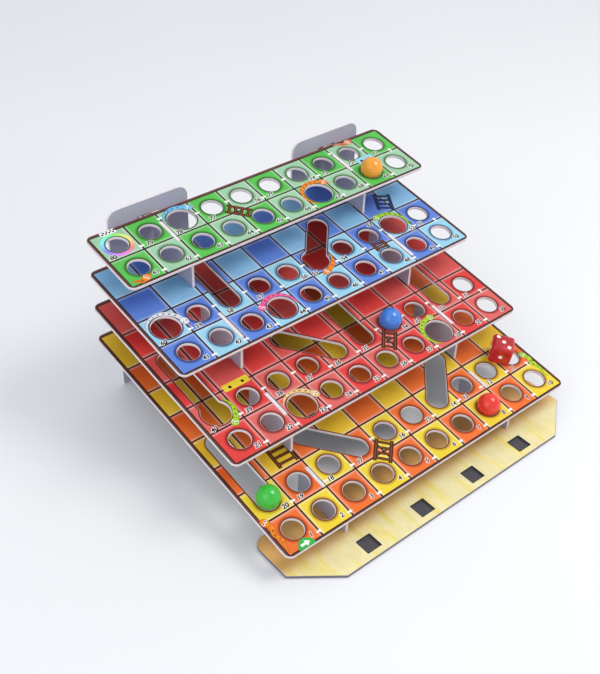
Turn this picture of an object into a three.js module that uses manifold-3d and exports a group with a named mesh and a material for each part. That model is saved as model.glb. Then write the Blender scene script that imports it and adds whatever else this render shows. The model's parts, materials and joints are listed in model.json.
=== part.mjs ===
// Four-tier snakes and ladders board: sloping card tiers on slot-together card supports,
// with a parking strip, four balls and a die.
// Millimetres, +Z up, +X along the rows of cells, +Y from the player to the back.
import * as THREE from 'three';
import { RoundedBoxGeometry } from 'three/addons/geometries/RoundedBoxGeometry.js';
import { mergeVertices } from 'three/addons/utils/BufferGeometryUtils.js';
import Module from 'manifold-3d';

// Playing grid
const PITCH = 25; // side of one square cell
const COLUMNS = 10; // cells across every tier
const PLAY_ROWS = 2; // numbered rows that show on each tier
const BORDER = 3; // dark margin around the cells
const CORNER_R = 5; // rounded corners of the tiers

// Levels
const BOARD_T = 2; // thickness of the card
const TILT_DEG = 9; // slope of the tiers, down towards the player
const LEVEL_RISE = 27; // vertical distance from one tier to the next
const FRONT_HEIGHT = 20.5; // table to the top of the lowest tier at the front line of its cells

// Holes and loose pieces
const BALL_D = 16; // playing ball
const HOLE_D = 14.5; // seat of a ball in a cell, and width of a slide slot
const SNAKE_HOLE_D = 20; // hole that a ball drops through
const DIE_SIZE = 16; // edge of the die
const DIE_ROUND = 2; // rounding of its edges
const PIP_D = 3; // width of a pip's hollow
const PIP_DEPTH = 0.5; // depth of a pip's hollow
const PIP_SPACING = 4.2; // from the middle of a face to the row of pips beside it
const DIE_COLUMN = 9.2; // middle of the die in cells from the left edge of the cells
const DIE_ROW = 1.66; // and in cells from the front line of the lowest tier
const DIE_TURN_DEG = 38; // how the die lies, turned from the rows of cells

// Parking strip that lies on the table
const STRIP_AHEAD = 23.5; // front edge of the strip, ahead of the front line of the lowest cells
const STRIP_BEHIND = 33; // back edge of the strip, behind that line
const STRIP_CHAMFER_X = 30; // width of the cut front corners
const STRIP_CHAMFER_Y = 23; // depth of the cut front corners
const STRIP_R = 8; // rounded back corners
const PARK_HOLE = 11.5; // side of a square parking hole
const PARK_SPACING = 47.5; // distance between parking holes
const PARK_INSET = 10.5; // centre of the parking holes behind the strip's front edge

// Risers, the upright cards that carry the front of each tier
const RISER_LINE = 3; // grid line that the risers stand beside, in cells from the middle
const RISER_OFFSET = 1.3; // middle of a riser outside that line
const RISER_SETBACK = 5.5; // front edge of a riser behind the first line of the cells it carries
const RISER_BACK_SETBACK = 3; // back edge of a riser ahead of the first line of the next tier up
const LOW_RISER_SETBACK = 2.3; // the same setback under the lowest tier
const LOW_RISER_DEPTH = 47; // the same length under the lowest tier
const FOOT_TAB_START = 2.8; // where a riser's foot tab starts, in cells from the lower tier's front line
const FOOT_TAB_CELLS = 0.7; // length of the foot tab in cells
const LOW_FOOT_TAB_START = 8; // where the lowest risers' foot tabs start behind the front line
const LOW_FOOT_TAB_LENGTH = 16; // length of those tabs

// Back posts, the upright cards behind the tiers
const POST_OFFSET = 3; // middle of a post outside the grid line of the risers
const POST_W = 63; // width of a post
const POST_ABOVE = 11.5; // height of a post above the back edge of the top tier
const POST_R = 8; // rounded top corners of a post
const BACK_TAB_W = 18; // width of the tabs on the tiers' back edges

// Clearances
const SEAT_GAP = 0.3; // between a card's edge and the face that it sits on
const SLIT_GAP = 0.15; // around a tab in its slit
const BALL_GAP = 0.1; // between a ball and the rim that it sits on
const TAB_SHORT = 0.1; // how far a tier's back tab stops short of the back of its post

// Facets
const HOLE_SIDES = 24;
const BALL_SIDES = 24;
const CORNER_STEPS = 5;
const PIP_SIDES = 20;
const CUT_PAST = 1; // how far a cut runs past the faces that it goes through

const TILT = THREE.MathUtils.degToRad(TILT_DEG);
const SIN = Math.sin(TILT);
const COS = Math.cos(TILT);
const TAN = Math.tan(TILT);
const STEP = PLAY_ROWS * PITCH + BORDER;
const HALF_W = COLUMNS * PITCH / 2 + BORDER;
const RISER_X = RISER_LINE * PITCH + RISER_OFFSET;
const POST_CENTRE = RISER_LINE * PITCH + POST_OFFSET;

// Tiers from the lowest up. Holes are given as [column, row], both from zero at the front left.
// drops: snake holes. slides: [cell, landing column, landing row, 1 where the cell is a snake hole too].
// slit: first and last row of the slits that take the tops of the risers below.
const TIER_SPECS = [
  {
    name: 'bottom_tier',
    colour: 0xf3c81f,
    slit: [1.03, 1.73],
    drops: [],
    slides: [[[0, 1], 0, 3, 0], [[3, 1], 2, 2, 0], [[6, 1], 7, 2, 0]],
  },
  {
    name: 'second_tier',
    colour: 0xf04848,
    slit: [0.5, 1.32],
    drops: [[2, 0], [7, 0]],
    slides: [[[0, 1], 0, 3, 1], [[4, 1], 3, 2, 0], [[5, 1], 5, 3, 0], [[8, 1], 8, 3, 0]],
  },
  {
    name: 'third_tier',
    colour: 0x5f86ea,
    slit: [0.21, 1.2],
    drops: [[0, 1], [3, 0], [8, 1]],
    slides: [[[2, 1], 2, 3, 0], [[5, 1], 6, 2, 1]],
  },
  {
    name: 'top_tier',
    colour: 0x58c456,
    slit: [0.83, 1.68],
    drops: [[2, 1], [6, 0]],
    slides: [],
  },
];
const TOP = TIER_SPECS.length - 1;
const DEEPEST = TOP * STEP + PLAY_ROWS * PITCH + BORDER;

// The back posts stand clear of the lower back corners of the tiers.
const POST_Y = DEEPEST * COS + BOARD_T * SIN + SEAT_GAP;
const BACK_Y = POST_Y + BOARD_T;
const BACK_TAB = (SEAT_GAP + BOARD_T) / COS - TAB_SHORT;

// Heights of a tier's upper and lower faces above the table, y behind the front line of the lowest cells.
function tierTop(level, y) {
  return FRONT_HEIGHT + level * LEVEL_RISE + y * TAN;
}

function tierUnder(level, y) {
  return tierTop(level, y) - BOARD_T / COS;
}

// Front line of a tier's cells.
function lineY(level) {
  return level * STEP * COS;
}

function lineZ(level) {
  return tierTop(level, lineY(level));
}

// A point on a tier, along its slope and square to it, seen from the side.
function onTier(level, along, up) {
  return [lineY(level) + along * COS - up * SIN, lineZ(level) + along * SIN + up * COS];
}

function columnX(column) {
  return (column + 0.5 - COLUMNS / 2) * PITCH;
}

function rowV(row) {
  return (row + 0.5) * PITCH;
}

function points(list) {
  return list.map((p) => new THREE.Vector2(p[0], p[1]));
}

function arc(x, y, radius, from, to, steps) {
  const list = [];
  for (let i = 0; i <= steps; i += 1) {
    const a = from + (to - from) * i / steps;
    list.push([x + radius * Math.cos(a), y + radius * Math.sin(a)]);
  }
  return list;
}

function circle(x, y, radius) {
  return arc(x, y, radius, 0, 2 * Math.PI, HOLE_SIDES).slice(0, -1);
}

function rectangle(x0, y0, x1, y1) {
  return [[x0, y0], [x1, y0], [x1, y1], [x0, y1]];
}

// A slot with a round end at each end; the end at the cell can be wider than the slot.
function slotOutline(x0, y0, radius0, x1, y1, radius1) {
  const a = Math.atan2(y1 - y0, x1 - x0);
  const open = Math.asin(Math.min(1, radius1 / radius0));
  const cell = arc(x0, y0, radius0, a + open, a + 2 * Math.PI - open, HOLE_SIDES / 2);
  const far = arc(x1, y1, radius1, a - Math.PI / 2, a + Math.PI / 2, HOLE_SIDES / 2);
  return cell.concat(far);
}

function prism(outline, bottom, top) {
  const options = { depth: top - bottom, bevelEnabled: false, steps: 1 };
  const geometry = new THREE.ExtrudeGeometry(new THREE.Shape(points(outline)), options);
  geometry.translate(0, 0, bottom);
  return geometry;
}

// A flat card with holes through it, its lower face at zero.
function card(outline, holes) {
  let solid = toSolid(prism(outline, 0, BOARD_T));
  for (const hole of holes) {
    solid = solid.subtract(toSolid(prism(hole, -CUT_PAST, BOARD_T + CUT_PAST)));
  }
  return fromSolid(solid);
}

function weld(geometry) {
  const bare = geometry.clone();
  bare.deleteAttribute('normal');
  bare.deleteAttribute('uv');
  const welded = mergeVertices(bare, 1e-4);
  welded.computeVertexNormals();
  return welded;
}

const wasm = await Module();
wasm.setup();

function toSolid(geometry) {
  const welded = weld(geometry);
  const mesh = new wasm.Mesh({
    numProp: 3,
    vertProperties: new Float32Array(welded.attributes.position.array),
    triVerts: new Uint32Array(welded.index.array),
  });
  return new wasm.Manifold(mesh);
}

function fromSolid(solid) {
  const mesh = solid.getMesh();
  const geometry = new THREE.BufferGeometry();
  geometry.setAttribute('position', new THREE.BufferAttribute(new Float32Array(mesh.vertProperties), 3));
  geometry.setIndex(new THREE.BufferAttribute(new Uint32Array(mesh.triVerts), 1));
  geometry.computeVertexNormals();
  return geometry;
}

function paint(colour, roughness) {
  return new THREE.MeshStandardMaterial({ color: colour, roughness, metalness: 0 });
}

function piece(name, geometry, material) {
  const mesh = new THREE.Mesh(geometry, material);
  mesh.name = name;
  return mesh;
}

const board = new THREE.Group();
const SHIFT_Y = (STRIP_AHEAD - BACK_Y) / 2;
board.position.y = SHIFT_Y;

const cardEdge = paint(0xb3abc4, 0.75);

// Tiers, each in a group that leans with the slope and starts on its front line of cells.
function tierOutline(depth) {
  const front = -BORDER;
  const back = depth;
  const r = CORNER_R;
  const turn = Math.PI / 2;
  const tabs = [];
  for (const x of [POST_CENTRE, -POST_CENTRE]) {
    tabs.push([x + BACK_TAB_W / 2, back]);
    tabs.push([x + BACK_TAB_W / 2, back + BACK_TAB]);
    tabs.push([x - BACK_TAB_W / 2, back + BACK_TAB]);
    tabs.push([x - BACK_TAB_W / 2, back]);
  }
  return [
    ...arc(-HALF_W + r, front + r, r, 2 * turn, 3 * turn, CORNER_STEPS),
    ...arc(HALF_W - r, front + r, r, 3 * turn, 4 * turn, CORNER_STEPS),
    ...arc(HALF_W - r, back - r, r, 0, turn, CORNER_STEPS),
    ...tabs,
    ...arc(-HALF_W + r, back - r, r, turn, 2 * turn, CORNER_STEPS),
  ];
}

function slit(x, from, to) {
  const half = BOARD_T / 2 + SLIT_GAP;
  return rectangle(x - half, from - SLIT_GAP, x + half, to + SLIT_GAP);
}

function tierHoles(spec, level) {
  const holes = [];
  const taken = new Set();
  for (const [column, row] of spec.drops) {
    holes.push(circle(columnX(column), rowV(row), SNAKE_HOLE_D / 2));
    taken.add(column + row * COLUMNS);
  }
  for (const [cell, landColumn, landRow, wide] of spec.slides) {
    const radius = wide ? SNAKE_HOLE_D / 2 : HOLE_D / 2;
    const landV = rowV(landRow) + BORDER;
    const x = columnX(cell[0]);
    const v = rowV(cell[1]);
    holes.push(slotOutline(x, v, radius, columnX(landColumn), landV, HOLE_D / 2));
    taken.add(cell[0] + cell[1] * COLUMNS);
  }
  for (let row = 0; row < PLAY_ROWS; row += 1) {
    for (let column = 0; column < COLUMNS; column += 1) {
      if (!taken.has(column + row * COLUMNS)) {
        holes.push(circle(columnX(column), rowV(row), HOLE_D / 2));
      }
    }
  }
  for (const x of [-RISER_X, RISER_X]) {
    holes.push(slit(x, spec.slit[0] * PITCH, spec.slit[1] * PITCH));
    if (level < TOP) {
      const start = FOOT_TAB_START * PITCH;
      holes.push(slit(x, start, start + FOOT_TAB_CELLS * PITCH));
    }
  }
  return holes;
}

const slopes = TIER_SPECS.map((spec, level) => {
  const slope = new THREE.Group();
  slope.position.set(0, lineY(level), lineZ(level));
  slope.rotation.x = TILT;
  const depth = DEEPEST - level * STEP;
  const tier = piece(spec.name, card(tierOutline(depth), tierHoles(spec, level)), paint(spec.colour, 0.45));
  tier.position.z = -BOARD_T;
  slope.add(tier);
  board.add(slope);
  return slope;
});

// Parking strip, as wide as the tiers above it
function stripOutline() {
  const half = HALF_W;
  const back = STRIP_BEHIND;
  return [
    [-half + STRIP_CHAMFER_X, -STRIP_AHEAD],
    [half - STRIP_CHAMFER_X, -STRIP_AHEAD],
    [half, -STRIP_AHEAD + STRIP_CHAMFER_Y],
    ...arc(half - STRIP_R, back - STRIP_R, STRIP_R, 0, Math.PI / 2, CORNER_STEPS),
    ...arc(-half + STRIP_R, back - STRIP_R, STRIP_R, Math.PI / 2, Math.PI, CORNER_STEPS),
    [-half, -STRIP_AHEAD + STRIP_CHAMFER_Y],
  ];
}

const stripHoles = [];
for (const place of [-1.5, -0.5, 0.5, 1.5]) {
  const x = place * PARK_SPACING;
  const y = -STRIP_AHEAD + PARK_INSET;
  const half = PARK_HOLE / 2;
  stripHoles.push(rectangle(x - half, y - half, x + half, y + half));
}
for (const x of [-RISER_X, RISER_X]) {
  stripHoles.push(slit(x, LOW_FOOT_TAB_START, LOW_FOOT_TAB_START + LOW_FOOT_TAB_LENGTH));
}
board.add(piece('parking_strip', card(stripOutline(), stripHoles), paint(0xebdf9c, 0.5)));

// Risers, drawn from the side: [y, z]
function topTab(level) {
  const [from, to] = TIER_SPECS[level].slit;
  const low = -BOARD_T - SEAT_GAP;
  return [
    onTier(level, to * PITCH, low),
    onTier(level, to * PITCH, 0),
    onTier(level, from * PITCH, 0),
    onTier(level, from * PITCH, low),
  ];
}

function riserOutline(level) {
  const gap = SEAT_GAP / COS;
  const front = lineY(level) + RISER_SETBACK;
  const back = lineY(level + 1) - RISER_BACK_SETBACK;
  const start = FOOT_TAB_START * PITCH;
  const end = start + FOOT_TAB_CELLS * PITCH;
  return [
    [front, tierTop(level - 1, front) + gap],
    onTier(level - 1, start, SEAT_GAP),
    onTier(level - 1, start, -BOARD_T),
    onTier(level - 1, end, -BOARD_T),
    onTier(level - 1, end, SEAT_GAP),
    [back, tierTop(level - 1, back) + gap],
    [back, tierUnder(level, back) - gap],
    ...topTab(level),
    [front, tierUnder(level, front) - gap],
  ];
}

function lowRiserOutline() {
  const gap = SEAT_GAP / COS;
  const front = LOW_RISER_SETBACK;
  const back = front + LOW_RISER_DEPTH;
  const step = STRIP_BEHIND + SEAT_GAP;
  const rest = BOARD_T + SEAT_GAP;
  const tabEnd = LOW_FOOT_TAB_START + LOW_FOOT_TAB_LENGTH;
  return [
    [front, rest],
    [LOW_FOOT_TAB_START, rest],
    [LOW_FOOT_TAB_START, 0],
    [tabEnd, 0],
    [tabEnd, rest],
    [step, rest],
    [step, 0],
    [back, 0],
    [back, tierUnder(0, back) - gap],
    ...topTab(0),
    [front, tierUnder(0, front) - gap],
  ];
}

const SIDES = [['left', -1], ['right', 1]];
TIER_SPECS.forEach((spec, level) => {
  for (const [side, sign] of SIDES) {
    const outline = level === 0 ? lowRiserOutline() : riserOutline(level);
    const riser = piece(`${spec.name}_riser_${side}`, card(outline, []), cardEdge);
    riser.quaternion.set(0.5, 0.5, 0.5, 0.5);
    riser.position.x = sign * RISER_X - BOARD_T / 2;
    board.add(riser);
  }
});

// Back posts, drawn from the front: [x, z]
function postOutline() {
  const half = POST_W / 2;
  const height = tierTop(TOP, DEEPEST * COS) + POST_ABOVE;
  return [
    [-half, 0],
    [half, 0],
    ...arc(half - POST_R, height - POST_R, POST_R, 0, Math.PI / 2, CORNER_STEPS),
    ...arc(-half + POST_R, height - POST_R, POST_R, Math.PI / 2, Math.PI, CORNER_STEPS),
  ];
}

const postSlits = TIER_SPECS.map((spec, level) => {
  const half = BACK_TAB_W / 2 + SLIT_GAP;
  const low = tierUnder(level, POST_Y) - SLIT_GAP;
  const high = tierTop(level, BACK_Y) + SLIT_GAP;
  return rectangle(-half, low, half, high);
});
for (const [side, sign] of SIDES) {
  const post = piece(`back_post_${side}`, card(postOutline(), postSlits), cardEdge);
  post.rotation.x = Math.PI / 2;
  post.position.set(sign * POST_CENTRE, BACK_Y, 0);
  board.add(post);
}

// Balls, seated on the rims of their cells
const RIM_R = HOLE_D / 2 * Math.cos(Math.PI / HOLE_SIDES);
const BALL_UP = Math.sqrt(Math.max(0, (BALL_D / 2) ** 2 - RIM_R ** 2)) + BALL_GAP;
const BALLS = [
  { name: 'green_ball', colour: 0x4cc24c, level: 0, column: 0, row: 1 },
  { name: 'red_ball', colour: 0xee3f31, level: 0, column: 7, row: 0 },
  { name: 'blue_ball', colour: 0x4a8de6, level: 1, column: 6, row: 1 },
  { name: 'orange_ball', colour: 0xf59c22, level: 3, column: 8, row: 0 },
];
for (const { name, colour, level, column, row } of BALLS) {
  const sphere = weld(new THREE.SphereGeometry(BALL_D / 2, BALL_SIDES, BALL_SIDES / 2));
  const ball = piece(name, sphere, paint(colour, 0.2));
  ball.rotation.x = Math.PI / 2;
  ball.position.set(columnX(column), rowV(row), BALL_UP);
  slopes[level].add(ball);
}

// Die with hollowed pips, resting on the lowest tier
const DIAGONAL = [[-1, -1], [1, 1]];
const CROSS = [[-1, 1], [1, -1]];
const PIPS = {
  1: [[0, 0]],
  2: DIAGONAL,
  3: [[0, 0], ...DIAGONAL],
  4: [...DIAGONAL, ...CROSS],
  5: [[0, 0], ...DIAGONAL, ...CROSS],
  6: [...DIAGONAL, ...CROSS, [-1, 0], [1, 0]],
};
// Face number, then the face's outward, across and up directions; opposite faces add up to seven.
const FACES = [
  [3, [0, 0, 1], [1, 0, 0], [0, 1, 0]],
  [4, [0, 0, -1], [1, 0, 0], [0, 1, 0]],
  [2, [0, -1, 0], [1, 0, 0], [0, 0, 1]],
  [5, [0, 1, 0], [1, 0, 0], [0, 0, 1]],
  [1, [-1, 0, 0], [0, 1, 0], [0, 0, 1]],
  [6, [1, 0, 0], [0, 1, 0], [0, 0, 1]],
];

function makeDie() {
  let solid = toSolid(new RoundedBoxGeometry(DIE_SIZE, DIE_SIZE, DIE_SIZE, 2, DIE_ROUND));
  const ballR = ((PIP_D / 2) ** 2 + PIP_DEPTH ** 2) / (2 * PIP_DEPTH);
  const depth = DIE_SIZE / 2 + ballR - PIP_DEPTH;
  for (const [count, out, across, up] of FACES) {
    for (const [a, b] of PIPS[count]) {
      const hollow = new THREE.SphereGeometry(ballR, PIP_SIDES, PIP_SIDES / 2);
      const place = [0, 1, 2].map((i) => out[i] * depth + (across[i] * a + up[i] * b) * PIP_SPACING);
      hollow.translate(place[0], place[1], place[2]);
      solid = solid.subtract(toSolid(hollow));
    }
  }
  return fromSolid(solid);
}

const die = piece('die', makeDie(), paint(0xd8222f, 0.25));
die.rotation.z = THREE.MathUtils.degToRad(DIE_TURN_DEG);
die.position.set((DIE_COLUMN - COLUMNS / 2) * PITCH, DIE_ROW * PITCH, DIE_SIZE / 2 + SEAT_GAP);
slopes[0].add(die);

export default board;
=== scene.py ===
"""Printed card, glossy balls, die and studio for a four-tier snakes and ladders board."""

import json
import math

import bmesh
import bpy
from bpy.props import FloatProperty, FloatVectorProperty, PointerProperty
from mathutils import Matrix, Vector
from mathutils.geometry import delaunay_2d_cdt


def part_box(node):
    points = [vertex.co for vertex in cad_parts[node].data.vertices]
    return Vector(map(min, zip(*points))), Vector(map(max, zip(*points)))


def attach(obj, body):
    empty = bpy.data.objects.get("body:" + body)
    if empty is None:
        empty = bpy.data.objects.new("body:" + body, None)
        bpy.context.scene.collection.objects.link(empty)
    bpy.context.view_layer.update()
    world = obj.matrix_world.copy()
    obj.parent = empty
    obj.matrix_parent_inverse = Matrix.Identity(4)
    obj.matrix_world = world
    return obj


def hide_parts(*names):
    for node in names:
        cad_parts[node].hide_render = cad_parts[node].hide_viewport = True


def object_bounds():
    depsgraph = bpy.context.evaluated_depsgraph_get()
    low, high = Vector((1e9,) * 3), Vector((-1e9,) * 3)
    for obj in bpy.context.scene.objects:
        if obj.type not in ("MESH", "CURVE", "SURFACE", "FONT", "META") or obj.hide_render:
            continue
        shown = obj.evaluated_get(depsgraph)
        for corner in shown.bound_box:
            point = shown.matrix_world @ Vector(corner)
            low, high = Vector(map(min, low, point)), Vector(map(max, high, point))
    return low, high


bl_info = {
    "name": "Tiered Snakes and Ladders Board",
    "version": (1, 0, 0),
    "blender": (4, 5, 0),
    "location": "View3D > Sidebar > Board",
    "description": "Dresses a four-tier card board game with print, balls, die and studio light",
    "category": "Object",
}

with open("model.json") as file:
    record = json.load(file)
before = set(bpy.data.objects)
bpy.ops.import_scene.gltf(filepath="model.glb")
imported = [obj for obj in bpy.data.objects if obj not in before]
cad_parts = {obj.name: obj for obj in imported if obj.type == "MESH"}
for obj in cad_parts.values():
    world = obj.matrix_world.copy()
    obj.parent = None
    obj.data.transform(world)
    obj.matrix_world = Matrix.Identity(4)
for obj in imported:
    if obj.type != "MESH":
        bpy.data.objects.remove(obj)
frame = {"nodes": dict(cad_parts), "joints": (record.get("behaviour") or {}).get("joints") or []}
CAD_LOW, CAD_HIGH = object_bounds()
BOXES = {node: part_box(node) for node in frame["nodes"]}

BODY = "board"
BALLS = ("green_ball", "red_ball", "blue_ball", "orange_ball")
SIDES = ("left", "right")
COLUMNS = 10
PLAY_ROWS = 2
LIFT_AXIS = Vector(frame["joints"][0]["axis"])
TILT = math.atan2(-LIFT_AXIS.y, LIFT_AXIS.z)
MILLIMETRE = 0.001
QUARTER = math.pi / 2

# Corners of a square that take its number, the wide ones clear of a snake hole.
FRONT_LEFT = (0.24, 0.12)
FRONT_RIGHT = (0.76, 0.12)
WIDE_FRONT_LEFT = (0.145, 0.085)
WIDE_FRONT_RIGHT = (0.855, 0.085)

# Print and holes of each tier in squares, columns and rows counted from zero at the front left.
# The rear shade share is how much of the second ink its squares keep in the rows under the next tier;
# giving up the lighter ink there is painted shade.
# A slide is (its square, the square it lands on, whether its square is a snake hole too).
# A slit is the first and last row of the slits that take the tops of the risers.
# Marks are the grid lines whose second-row arrow has a row of its own, and numbers are the columns
# whose second-row number has a corner of its own, in squares from the square's front left.
TIERS = {
    "bottom_tier": {
        "slot": "yellow_orange_print",
        "rear_shade_share": 0.82,
        "drops": (),
        "slides": (((0, 1), (0, 3), False), ((3, 1), (2, 2), False), ((6, 1), (7, 2), False)),
        "slit": (1.03, 1.73),
        "marks": {4: 1.5},
        "numbers": {0: FRONT_RIGHT, 4: FRONT_RIGHT, 5: FRONT_RIGHT, 6: FRONT_RIGHT},
    },
    "second_tier": {
        "slot": "red_print",
        "rear_shade_share": 0.6,
        "drops": ((2, 0), (7, 0)),
        "slides": (
            ((0, 1), (0, 3), True),
            ((4, 1), (3, 2), False),
            ((5, 1), (5, 3), False),
            ((8, 1), (8, 3), False),
        ),
        "slit": (0.5, 1.32),
        "marks": {2: 1.5, 3: 1.5, 6: 1.5, 7: 1.5, 8: 1.5},
        "numbers": {6: FRONT_RIGHT},
    },
    "third_tier": {
        "slot": "blue_print",
        "rear_shade_share": 0.7,
        "drops": ((0, 1), (3, 0), (8, 1)),
        "slides": (((2, 1), (2, 3), False), ((5, 1), (6, 2), True)),
        "slit": (0.21, 1.2),
        "marks": {2: 1.5, 3: 1.5, 5: 1.5, 8: 1.5},
        "numbers": {4: FRONT_RIGHT, 5: (0.11, 0.075), 7: (0.85, 0.85), 8: WIDE_FRONT_RIGHT},
    },
    "top_tier": {
        "slot": "green_print",
        "rear_shade_share": 1.0,
        "drops": ((2, 1), (6, 0)),
        "slides": (),
        "slit": (0.83, 1.68),
        "marks": {2: 1.82, 3: 1.5, 4: 1.5, 6: 1.5, 8: 1.78, 9: 1.5},
        "numbers": {0: (0.135, 0.115), 4: FRONT_RIGHT, 6: FRONT_RIGHT},
    },
}
LEVELS = list(TIERS)
# Rows of the slits that take the feet of the next tier's risers, and the grid lines all slits lie on.
FOOT_SLIT = (2.8, 3.5)
SLIT_LINES = (2, 8)
# Places of the parking holes across the strip, in spacings from its middle.
PARK_PLACES = (-1.5, -0.5, 0.5, 1.5)

# Height of each print in ink layers above the card. All prints start at the foot, inside the card.
LAYERS = {
    "foot": -2,
    "rim": 1,
    "figure_edge": 2,
    "figure": 3,
    "path_mark": 2,
    "ladder_edge": 3,
    "ladder": 4,
    "ladder_top": 2,
    "ladder_end": 3,
    "snake_edge": 3,
    "snake": 4,
    "spot": 5,
    "tongue": 4,
    "head_edge": 5,
    "head": 6,
    "eye": 7,
    "pupil": 8,
    "nostril": 7,
    "start_plaque": 5,
    "start_arrow": 6,
    "finish_ring": 1,
    "finish_plaque": 4,
    "finish_check": 5,
}

# Usual rows of the path's arrows, the steps that keep an arrow clear of a snake hole or a slit, and
# the place where the path turns from the front row of a tier to the next one, in squares.
FRONT_MARK = 0.09
BACK_MARK = 1.14
HOLE_STEP = 0.06
SLIT_STEP = 0.1
TURN_MARK = (9.76, 1.03)
# Outline of an arrow along x, in lengths of the arrow.
ARROW = ((-0.5, -0.13), (0.05, -0.13), (0.0, -0.34), (0.5, 0.0), (0.0, 0.34), (0.05, 0.13), (-0.5, 0.13))
FIGURE_SLANT = 0.2

# Ladders as (tier, foot, head, width, ink), in squares.
LADDERS = (
    ("bottom_tier", (3.745, 0.775), (4.26, 1.27), 0.5, "brown"),
    ("bottom_tier", (1.66, 2.08), (1.69, 2.72), 0.62, "brown"),
    ("second_tier", (5.8, 0.75), (6.27, 1.24), 0.42, "brown"),
    ("third_tier", (7.5, 0.83), (7.52, 1.17), 0.46, "brown"),
    ("third_tier", (8.78, 2.12), (9.14, 2.75), 0.52, "night"),
    ("top_tier", (4.28, 0.76), (3.8, 1.26), 0.36, "brown"),
)
# Each ladder ink is followed by the one in the middle of its rails and rungs.
LADDER_INKS = ("brown", "brown_light", "night", "night_light")
# Width of a rung in rails. The dark edge, its run past the ends and the light middle are in bar widths.
RUNG_WIDTH = 0.85
BAR_EDGE = 1.25
BAR_OVERRUN = 0.15
BAR_MIDDLE = 0.3
# Tops of ladders that come up from the tier below, as (tier, middle of the bar, its length), in squares.
LADDER_TOPS = (("second_tier", (1.5, 2.02), 0.8), ("top_tier", (8.77, 1.06), 0.62))
# Half a top's depth and the step of its two dark ends towards the front, in squares, then the rounding
# of its corners and the radius of a dark end, in rails.
TOP_HALF = 0.12
TOP_END_STEP = 0.02
TOP_ROUND = 0.4
TOP_END = 0.55

# Snakes that curl round a hole, as (tier, square, tail angle, sweep, coat).
CURLED_SNAKES = (
    ("second_tier", (2, 0), 150, -130, "cream"),
    ("second_tier", (7, 0), 232, -150, "lime"),
    ("second_tier", (0, 1), 36, -94, "lime"),
    ("third_tier", (3, 0), -8, 150, "rose"),
    ("third_tier", (0, 1), 172, -170, "pearl"),
    ("third_tier", (8, 1), -30, 140, "lime"),
    ("third_tier", (5, 1), -4, -84, "amber"),
    ("top_tier", (2, 1), 160, -115, "sky"),
    ("top_tier", (6, 0), 226, -182, "amber"),
)
# Snakes that lie along an edge, as (tier, tail, head, coat), in squares.
EDGE_SNAKES = (
    ("bottom_tier", (0.07, 0.06), (0.06, 0.95), "amber"),
    ("bottom_tier", (9.94, 0.36), (9.94, 1.26), "lime"),
    ("top_tier", (0.06, 0.06), (0.4, 0.04), "amber"),
    ("top_tier", (8.34, 2.02), (8.8, 1.95), "salmon"),
)
# A snake in widths of its body: the middle of a curled one from the edge of its hole, the swing and the
# length of a wave, the tail's tip and how much wider the whole run would make it, the dark edge, a spot's
# half length and half width, the middle of the head past the path's end, the tongue and its fork.
CURL_GAP = 0.72
WAVE_SWING = 0.3
WAVE_LENGTH = 4
TAIL_TIP = 0.16
TAIL_GROWTH = 1.3
SNAKE_EDGE = 0.2
SPOT = (0.34, 0.26)
HEAD_STEP = 0.5
TONGUE = 1.4
TONGUE_WIDTH = 0.15
FORK = 0.35
FORK_WIDTH = 0.14
FORK_SPREAD = 0.4
# Parts of a head as (layer, ink, places, half length, half width, points), in widths of the body. A place
# is how far forward and how far to the left it lies from the middle of the head.
SNAKE_HEAD = (
    ("head_edge", "band", ((0, 0),), 1.2, 0.96, 32),
    ("head", "coat", ((0, 0),), 1.08, 0.84, 32),
    ("eye", "white", ((0.1, -0.42), (0.1, 0.42)), 0.34, 0.34, 20),
    ("pupil", "black", ((0.18, -0.42), (0.18, 0.42)), 0.19, 0.19, 16),
    ("nostril", "band", ((0.8, -0.168), (0.8, 0.168)), 0.07, 0.07, 10),
)
# Path points from one spot to the next, the share of a curled path where its head starts to swing out,
# and the degrees that one step of it turns.
SPOT_STEP = 6
SWING_START = 0.6
CURL_STEP = 3

# Start plaque in squares: its middle, half its width, its foot, the middle of its arch and its arrow.
START_COLUMN = 0.5
START_HALF = 0.24
START_FOOT = -0.1
START_ARCH = -0.08
START_ARROW_ROW = 0.01
START_ARROW = 0.28
# Last seat and the two corners of the finish plaque, in squares.
LAST_SEAT = (0, 1)
FINISH_LOW = (0.3, 1.94)
FINISH_HIGH = (0.76, 2.1)
# Number of checks on the finish plaque, how many the plaque is high, and the first one's corner in checks.
CHECKS = 8
CHECKS_HIGH = 3
CHECK_START = Vector((0.6, 0.5))

# Points of a ball's seam as shares of its depth and of half its width, from its bottom to its lip.
SEAM = ((1.15, 0.0), (1.0, 0.45), (0.35, 0.8))
# Places of the pips on the faces of a die, in spacings.
DIAGONAL = ((-1, -1), (1, 1))
CROSS = ((-1, 1), (1, -1))
PIPS = {
    1: ((0, 0),),
    2: DIAGONAL,
    3: ((0, 0), *DIAGONAL),
    4: (*DIAGONAL, *CROSS),
    5: ((0, 0), *DIAGONAL, *CROSS),
    6: (*DIAGONAL, *CROSS, (-1, 0), (1, 0)),
}
# Number of a face, then its outward, across and up directions.
DIE_FACES = (
    (3, (0, 0, 1), (1, 0, 0), (0, 1, 0)),
    (4, (0, 0, -1), (1, 0, 0), (0, 1, 0)),
    (2, (0, -1, 0), (1, 0, 0), (0, 0, 1)),
    (5, (0, 1, 0), (1, 0, 0), (0, 0, 1)),
    (1, (-1, 0, 0), (0, 1, 0), (0, 0, 1)),
    (6, (1, 0, 0), (0, 1, 0), (0, 0, 1)),
)


# Values that a user can change

def length(name, description, millimetres):
    """A size, stored in metres."""
    size = millimetres * MILLIMETRE
    return FloatProperty(
        name=name, description=description, default=size, min=0.0, unit="LENGTH", precision=5
    )


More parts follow.
